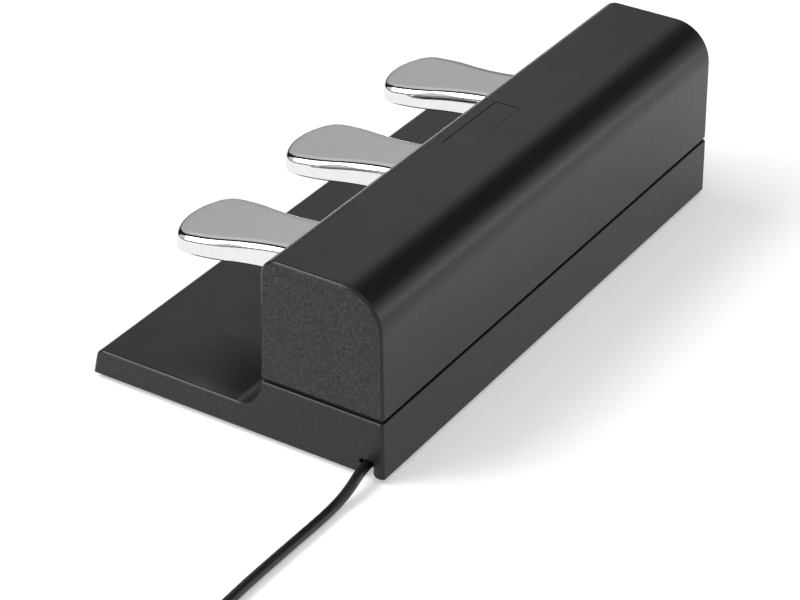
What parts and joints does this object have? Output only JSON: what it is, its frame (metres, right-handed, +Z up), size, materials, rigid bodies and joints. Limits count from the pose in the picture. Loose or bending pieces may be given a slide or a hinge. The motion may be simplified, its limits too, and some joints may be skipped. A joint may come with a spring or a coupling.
{
  "type": "piano pedal unit",
  "caption": "Floor pedal unit for a digital piano: chromed damper, middle and soft levers in a moulded housing on a foot plate, with a lead ending in a round plug.",
  "frame": {"origin": "on the floor, under the middle of the closed unit without its lead", "axes": "+X along the housing to the end where the lead leaves; -Y towards the player's feet, so +Y to the unit's back; +Z up"},
  "size_m": [0.5145, 0.229, 0.0913],
  "materials": {
    "base_plastic": "fine-grained black ABS",
    "cover_plastic": "fine-grained black ABS",
    "bare_plate": "smooth dark plastic, bare",
    "sheet_steel": "zinc-plated sheet",
    "chromed_casting": "polished chrome on a zinc casting",
    "plated_fastener": "zinc-plated",
    "shaft_steel": "ground",
    "spring_steel": "drawn wire",
    "foot_rubber": "matte",
    "nylon": "natural",
    "black_nylon": "moulded",
    "felt": "pressed felt",
    "circuit_board": "solder mask",
    "connector_plastic": "moulded",
    "wire_jacket": "thin jacket",
    "cord_jacket": "smooth black jacket",
    "plug_rubber": "moulded",
    "plug_metal": "nickel-plated",
    "contact_brass": "bright",
    "tie_velour": "woven strap"
  },
  "bodies": {
    "housing": {"base_case": "base_plastic", "top_cover": "cover_plastic", "name_plate": "bare_plate", "bottom_plate": "sheet_steel", "rubber_feet": "foot_rubber", "bottom_screws": "plated_fastener", "cover_screws": "plated_fastener", "bracket_screws": "plated_fastener", "bracket_nuts": "plated_fastener", "shaft_clips": "plated_fastener", "spring_seats": "black_nylon", "stop_bar": "sheet_steel", "stop_bar_screws": "plated_fastener", "upper_felts": "felt", "lower_felts": "felt", "board_posts": "shaft_steel", "sensor_board": "circuit_board", "board_screws": "plated_fastener", "photo_sensors": "black_nylon", "board_connector": "connector_plastic", "lead_plug": "connector_plastic", "lead_wires": "wire_jacket", "cord_inner": "cord_jacket", "cord_clamp": "black_nylon", "clamp_screw": "plated_fastener", "cord": "cord_jacket", "cord_coil": "cord_jacket", "cord_tail": "cord_jacket", "cord_tie": "tie_velour", "plug_grip": "plug_rubber", "plug_shell": "plug_metal", "plug_insulator": "black_nylon", "plug_pins": "contact_brass", "bracket_left": "sheet_steel", "shaft_left": "shaft_steel", "spring_left": "spring_steel", "bracket_middle": "sheet_steel", "shaft_middle": "shaft_steel", "spring_middle": "spring_steel", "bracket_right": "sheet_steel", "shaft_right": "shaft_steel", "spring_right": "spring_steel"},
    "pedal_left": {"pedal_left": "chromed_casting", "bushes_left": "nylon", "spring_cap_left": "black_nylon", "flag_left": "black_nylon", "flag_screw_left": "plated_fastener"},
    "pedal_middle": {"pedal_middle": "chromed_casting", "bushes_middle": "nylon", "spring_cap_middle": "black_nylon", "flag_middle": "black_nylon", "flag_screw_middle": "plated_fastener"},
    "pedal_right": {"pedal_right": "chromed_casting", "bushes_right": "nylon", "spring_cap_right": "black_nylon", "flag_right": "black_nylon", "flag_screw_right": "plated_fastener"}
  },
  "joints": [
    {"name": "pedal_left_hinge", "type": "hinge", "parent": "housing", "child": "pedal_left", "pos_m": [-0.0862, 0.0615, 0.06], "axis": [1, 0, 0], "range_deg": [0, 6], "stiffness_Nm_per_rad": 3, "springref_deg": -32.66, "deforming": ["spring_left"]},
    {"name": "pedal_middle_hinge", "type": "hinge", "parent": "housing", "child": "pedal_middle", "pos_m": [0, 0.0615, 0.06], "axis": [1, 0, 0], "range_deg": [0, 6], "stiffness_Nm_per_rad": 3, "springref_deg": -32.66, "deforming": ["spring_middle"]},
    {"name": "pedal_right_hinge", "type": "hinge", "parent": "housing", "child": "pedal_right", "pos_m": [0.0862, 0.0615, 0.06], "axis": [1, 0, 0], "range_deg": [0, 6], "stiffness_Nm_per_rad": 3, "springref_deg": -32.66, "deforming": ["spring_right"]}
  ]
}
